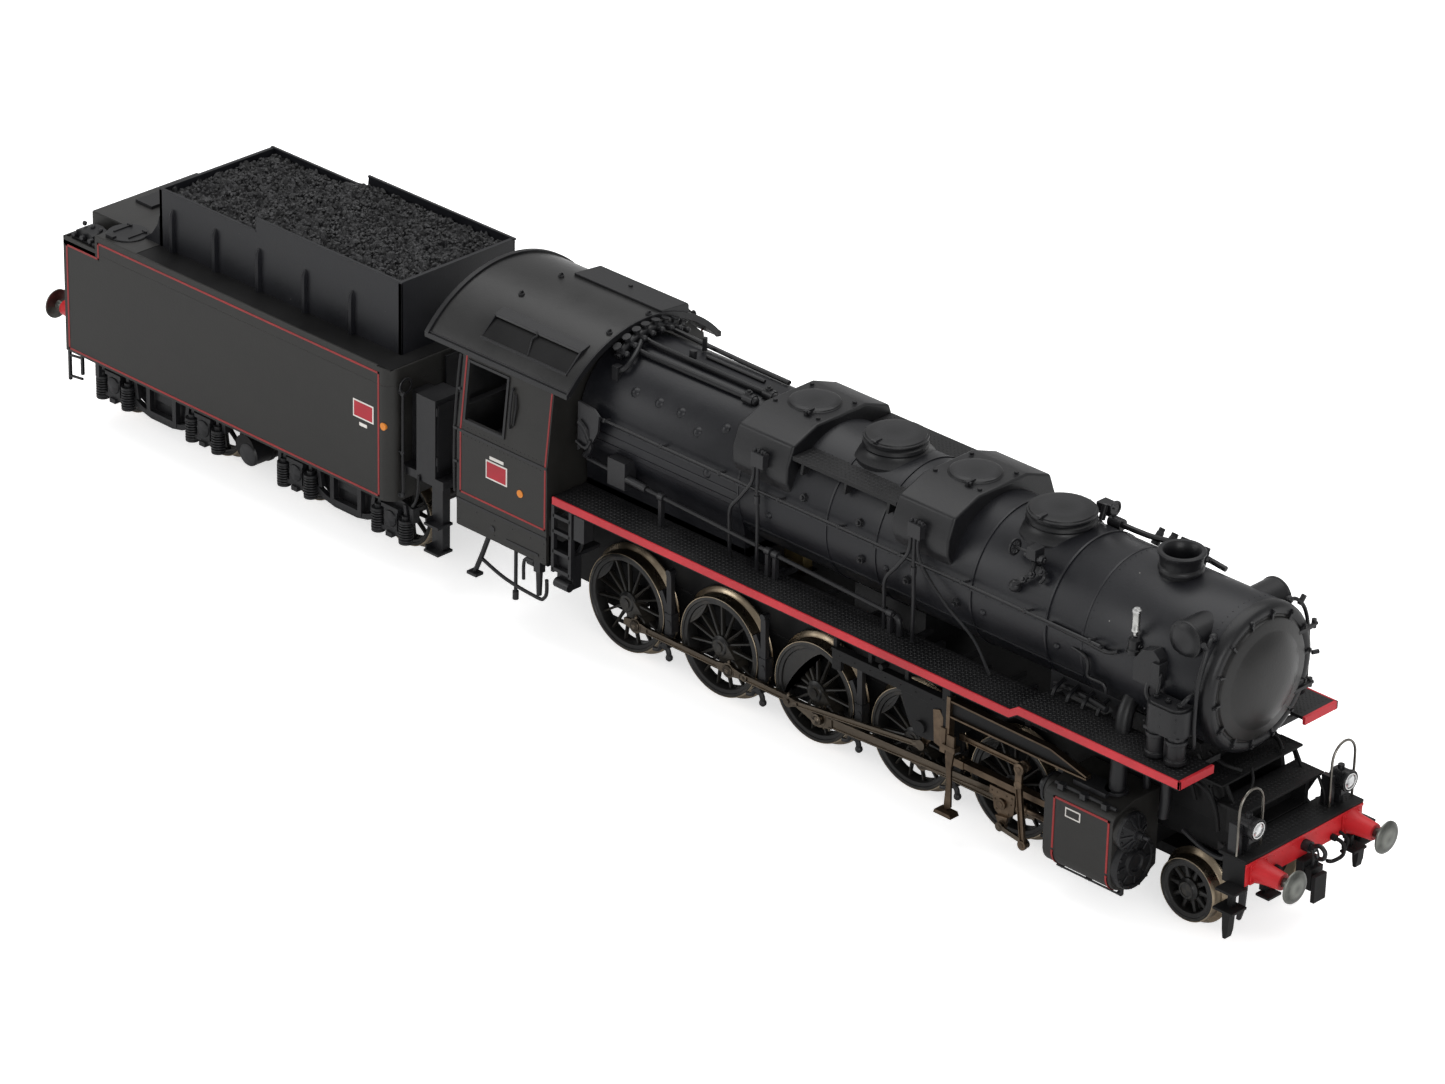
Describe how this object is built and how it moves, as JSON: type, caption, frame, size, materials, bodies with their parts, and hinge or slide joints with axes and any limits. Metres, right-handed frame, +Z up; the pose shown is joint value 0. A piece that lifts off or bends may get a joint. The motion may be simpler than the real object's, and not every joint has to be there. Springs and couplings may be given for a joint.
{
  "type": "model steam locomotive",
  "caption": "Scale model of a steam tender locomotive for a railway layout, with turning wheels, coupled rods, sliding crossheads, swinging valve gear and swivelling bogies.",
  "frame": {"origin": "middle of the length over buffers, on the centre line, at the bottom of the wheel flanges", "axes": "+X forward towards the smokebox, +Y to the locomotive's left, +Z up"},
  "size_m": [0.263, 0.035, 0.0516],
  "materials": {
    "body_black": "satin black paint, thin dull red lining",
    "frame_black": "matt black paint",
    "underframe_black": "matt black moulding",
    "rod_metal": "chemically blackened bronze-brown",
    "wheel_metal": "brassy tyres on blackened centres",
    "dark_steel": "blackened turned steel",
    "gear_brass": "plain machined",
    "beam_red": "satin signal red",
    "coal_black": "rough broken coal"
  },
  "bodies": {
    "locomotive": {"main_frame": "frame_black", "boiler_shell": "body_black", "smokebox_door": "body_black", "chimney": "body_black", "front_dome": "body_black", "middle_dome": "body_black", "front_sandbox": "body_black", "rear_sandbox": "body_black", "cab_body": "body_black", "cab_roof": "body_black", "running_board_right": "body_black", "running_board_left": "body_black", "cylinder_right": "body_black", "cylinder_left": "body_black", "motion_bracket_right": "underframe_black", "motion_bracket_left": "underframe_black", "buffer_beam": "beam_red", "lamp_right": "body_black", "lamp_left": "body_black", "motor_can": "dark_steel", "air_pump": "body_black"},
    "driving_wheelset_1": {"driving_wheelset_1": "wheel_metal"},
    "driving_wheelset_2": {"driving_wheelset_2": "wheel_metal"},
    "driving_wheelset_3": {"driving_wheelset_3": "wheel_metal"},
    "driving_wheelset_4": {"driving_wheelset_4": "wheel_metal"},
    "driving_wheelset_5": {"driving_wheelset_5": "wheel_metal"},
    "motor_shaft": {"motor_shaft": "gear_brass"},
    "worm_wheel": {"worm_wheel": "gear_brass"},
    "side_rod_right": {"side_rod_right": "rod_metal"},
    "main_rod_right": {"main_rod_right": "rod_metal"},
    "eccentric_rod_right": {"eccentric_rod_right": "rod_metal"},
    "crosshead_right": {"crosshead_right": "rod_metal"},
    "union_link_right": {"union_link_right": "rod_metal"},
    "expansion_link_right": {"expansion_link_right": "rod_metal"},
    "radius_rod_right": {"radius_rod_right": "rod_metal"},
    "combination_lever_right": {"combination_lever_right": "rod_metal"},
    "front_buffer_right": {"front_buffer_right": "dark_steel"},
    "rear_buffer_right": {"rear_buffer_right": "dark_steel"},
    "side_rod_left": {"side_rod_left": "rod_metal"},
    "main_rod_left": {"main_rod_left": "rod_metal"},
    "eccentric_rod_left": {"eccentric_rod_left": "rod_metal"},
    "crosshead_left": {"crosshead_left": "rod_metal"},
    "union_link_left": {"union_link_left": "rod_metal"},
    "expansion_link_left": {"expansion_link_left": "rod_metal"},
    "radius_rod_left": {"radius_rod_left": "rod_metal"},
    "combination_lever_left": {"combination_lever_left": "rod_metal"},
    "front_buffer_left": {"front_buffer_left": "dark_steel"},
    "rear_buffer_left": {"rear_buffer_left": "dark_steel"},
    "pony_truck": {"pony_truck": "underframe_black"},
    "pony_wheelset": {"pony_wheelset": "wheel_metal"},
    "drawbar": {"drawbar": "dark_steel"},
    "front_bogie": {"front_bogie": "underframe_black"},
    "rear_bogie": {"rear_bogie": "underframe_black"},
    "tender_wheelset_1": {"tender_wheelset_1": "wheel_metal"},
    "tender_wheelset_2": {"tender_wheelset_2": "wheel_metal"},
    "tender_wheelset_3": {"tender_wheelset_3": "wheel_metal"},
    "tender_wheelset_4": {"tender_wheelset_4": "wheel_metal"},
    "tender": {"tender_frame": "underframe_black", "tender_body": "body_black", "coal_load": "coal_black"}
  },
  "joints": [
    {"name": "driving_axle_1", "type": "hinge", "parent": "locomotive", "child": "driving_wheelset_1", "pos_m": [0.07878, 0, 0.00895], "axis": [0, 1, 0], "continuous": true},
    {"name": "driving_axle_2", "type": "hinge", "parent": "locomotive", "child": "driving_wheelset_2", "pos_m": [0.05924, 0, 0.00895], "axis": [0, 1, 0], "continuous": true},
    {"name": "driving_axle_3", "type": "hinge", "parent": "locomotive", "child": "driving_wheelset_3", "pos_m": [0.0397, 0, 0.00895], "axis": [0, 1, 0], "continuous": true},
    {"name": "driving_axle_4", "type": "hinge", "parent": "locomotive", "child": "driving_wheelset_4", "pos_m": [0.02016, 0, 0.00895], "axis": [0, 1, 0], "continuous": true},
    {"name": "driving_axle_5", "type": "hinge", "parent": "locomotive", "child": "driving_wheelset_5", "pos_m": [0.00062, 0, 0.00895], "axis": [0, 1, 0], "continuous": true},
    {"name": "worm_wheel_spin", "type": "hinge", "parent": "locomotive", "child": "worm_wheel", "pos_m": [0.02016, 0, 0.02205], "axis": [0, 1, 0], "continuous": true},
    {"name": "motor_spin", "type": "hinge", "parent": "locomotive", "child": "motor_shaft", "pos_m": [0.02016, 0, 0.0323], "axis": [1, 0, 0], "continuous": true},
    {"name": "side_rod_pin_right", "type": "hinge", "parent": "driving_wheelset_3", "child": "side_rod_right", "pos_m": [0.04269, -0.0107, 0.00661], "axis": [0, 1, 0], "continuous": true},
    {"name": "main_rod_pin_right", "type": "hinge", "parent": "driving_wheelset_3", "child": "main_rod_right", "pos_m": [0.04269, -0.01175, 0.00661], "axis": [0, 1, 0], "continuous": true},
    {"name": "eccentric_rod_pin_right", "type": "hinge", "parent": "driving_wheelset_3", "child": "eccentric_rod_right", "pos_m": [0.03762, -0.0131, 0.00798], "axis": [0, 1, 0], "continuous": true},
    {"name": "crosshead_slide_right", "type": "slide", "parent": "locomotive", "child": "crosshead_right", "axis": [1, 0, 0], "range_m": [-0.0068, 0.0008]},
    {"name": "union_link_pin_right", "type": "hinge", "parent": "crosshead_right", "child": "union_link_right", "pos_m": [0.0809, -0.0147, 0.0052], "axis": [0, 1, 0], "range_deg": [-12, 12]},
    {"name": "expansion_link_pivot_right", "type": "hinge", "parent": "locomotive", "child": "expansion_link_right", "pos_m": [0.066, -0.0124, 0.0159], "axis": [0, 1, 0], "range_deg": [-58, 2]},
    {"name": "radius_rod_slide_right", "type": "slide", "parent": "locomotive", "child": "radius_rod_right", "axis": [1, 0, 0], "range_m": [-0.0008, 0.0008]},
    {"name": "combination_lever_pin_right", "type": "hinge", "parent": "radius_rod_right", "child": "combination_lever_right", "pos_m": [0.0847, -0.01535, 0.0164], "axis": [0, 1, 0], "range_deg": [-4.5, 33.5]},
    {"name": "side_rod_pin_left", "type": "hinge", "parent": "driving_wheelset_3", "child": "side_rod_left", "pos_m": [0.03618, 0.0107, 0.00753], "axis": [0, 1, 0], "continuous": true},
    {"name": "main_rod_pin_left", "type": "hinge", "parent": "driving_wheelset_3", "child": "main_rod_left", "pos_m": [0.03618, 0.01175, 0.00753], "axis": [0, 1, 0], "continuous": true},
    {"name": "eccentric_rod_pin_left", "type": "hinge", "parent": "driving_wheelset_3", "child": "eccentric_rod_left", "pos_m": [0.0399, 0.0131, 0.01124], "axis": [0, 1, 0], "continuous": true},
    {"name": "crosshead_slide_left", "type": "slide", "parent": "locomotive", "child": "crosshead_left", "axis": [1, 0, 0], "range_m": [-0.00028, 0.00732]},
    {"name": "union_link_pin_left", "type": "hinge", "parent": "crosshead_left", "child": "union_link_left", "pos_m": [0.07442, 0.0147, 0.0052], "axis": [0, 1, 0], "range_deg": [-12, 12]},
    {"name": "expansion_link_pivot_left", "type": "hinge", "parent": "locomotive", "child": "expansion_link_left", "pos_m": [0.066, 0.0124, 0.0159], "axis": [0, 1, 0], "range_deg": [-32, 28]},
    {"name": "radius_rod_slide_left", "type": "slide", "parent": "locomotive", "child": "radius_rod_left", "axis": [1, 0, 0], "range_m": [-0.0008, 0.0008]},
    {"name": "combination_lever_pin_left", "type": "hinge", "parent": "radius_rod_left", "child": "combination_lever_left", "pos_m": [0.0847, 0.01535, 0.0164], "axis": [0, 1, 0], "range_deg": [-35.5, 2]},
    {"name": "pony_swing", "type": "hinge", "parent": "locomotive", "child": "pony_truck", "pos_m": [0.0917, 0, 0.0058], "axis": [0, 0, 1], "range_deg": [-7, 7]},
    {"name": "pony_axle", "type": "hinge", "parent": "pony_truck", "child": "pony_wheelset", "pos_m": [0.1118, 0, 0.0058], "axis": [0, 1, 0], "continuous": true},
    {"name": "front_buffer_slide_right", "type": "slide", "parent": "locomotive", "child": "front_buffer_right", "axis": [1, 0, 0], "range_m": [-0.001, 0], "stiffness_N_per_m": 100, "springref_m": 0.0005},
    {"name": "front_buffer_slide_left", "type": "slide", "parent": "locomotive", "child": "front_buffer_left", "axis": [1, 0, 0], "range_m": [-0.001, 0], "stiffness_N_per_m": 100, "springref_m": 0.0005},
    {"name": "drawbar_pin", "type": "hinge", "parent": "locomotive", "child": "drawbar", "pos_m": [-0.0243, 0, 0.0106], "axis": [0, 0, 1], "range_deg": [-6, 6]},
    {"name": "tender_pin", "type": "hinge", "parent": "drawbar", "child": "tender", "pos_m": [-0.0403, 0, 0.0106], "axis": [0, 0, 1], "range_deg": [-6, 6]},
    {"name": "rear_buffer_slide_right", "type": "slide", "parent": "tender", "child": "rear_buffer_right", "axis": [1, 0, 0], "range_m": [0, 0.001], "stiffness_N_per_m": 100, "springref_m": -0.0005},
    {"name": "rear_buffer_slide_left", "type": "slide", "parent": "tender", "child": "rear_buffer_left", "axis": [1, 0, 0], "range_m": [0, 0.001], "stiffness_N_per_m": 100, "springref_m": -0.0005},
    {"name": "front_bogie_swivel", "type": "hinge", "parent": "tender", "child": "front_bogie", "pos_m": [-0.05875, 0, 0.00665], "axis": [0, 0, 1], "range_deg": [-9, 9]},
    {"name": "tender_axle_1", "type": "hinge", "parent": "front_bogie", "child": "tender_wheelset_1", "pos_m": [-0.04783, 0, 0.00665], "axis": [0, 1, 0], "continuous": true},
    {"name": "tender_axle_2", "type": "hinge", "parent": "front_bogie", "child": "tender_wheelset_2", "pos_m": [-0.06967, 0, 0.00665], "axis": [0, 1, 0], "continuous": true},
    {"name": "rear_bogie_swivel", "type": "hinge", "parent": "tender", "child": "rear_bogie", "pos_m": [-0.10245, 0, 0.00665], "axis": [0, 0, 1], "range_deg": [-9, 9]},
    {"name": "tender_axle_3", "type": "hinge", "parent": "rear_bogie", "child": "tender_wheelset_3", "pos_m": [-0.09153, 0, 0.00665], "axis": [0, 1, 0], "continuous": true},
    {"name": "tender_axle_4", "type": "hinge", "parent": "rear_bogie", "child": "tender_wheelset_4", "pos_m": [-0.11337, 0, 0.00665], "axis": [0, 1, 0], "continuous": true}
  ],
  "couplings": [
    {"joint": "driving_axle_1", "follows": "driving_axle_3", "ratio": 1},
    {"joint": "driving_axle_2", "follows": "driving_axle_3", "ratio": 1},
    {"joint": "driving_axle_4", "follows": "driving_axle_3", "ratio": 1},
    {"joint": "driving_axle_5", "follows": "driving_axle_3", "ratio": 1},
    {"joint": "worm_wheel_spin", "follows": "driving_axle_3", "ratio": -0.5},
    {"joint": "motor_spin", "follows": "driving_axle_3", "ratio": 18},
    {"joint": "side_rod_pin_right", "follows": "driving_axle_3", "ratio": -1},
    {"joint": "main_rod_pin_right", "follows": "driving_axle_3", "ratio": -1},
    {"joint": "eccentric_rod_pin_right", "follows": "driving_axle_3", "ratio": -1},
    {"joint": "combination_lever_pin_right", "follows": "crosshead_slide_right", "rad_per_m": -83.33},
    {"joint": "side_rod_pin_left", "follows": "driving_axle_3", "ratio": -1},
    {"joint": "main_rod_pin_left", "follows": "driving_axle_3", "ratio": -1},
    {"joint": "eccentric_rod_pin_left", "follows": "driving_axle_3", "ratio": -1},
    {"joint": "combination_lever_pin_left", "follows": "crosshead_slide_left", "rad_per_m": -83.33}
  ]
}
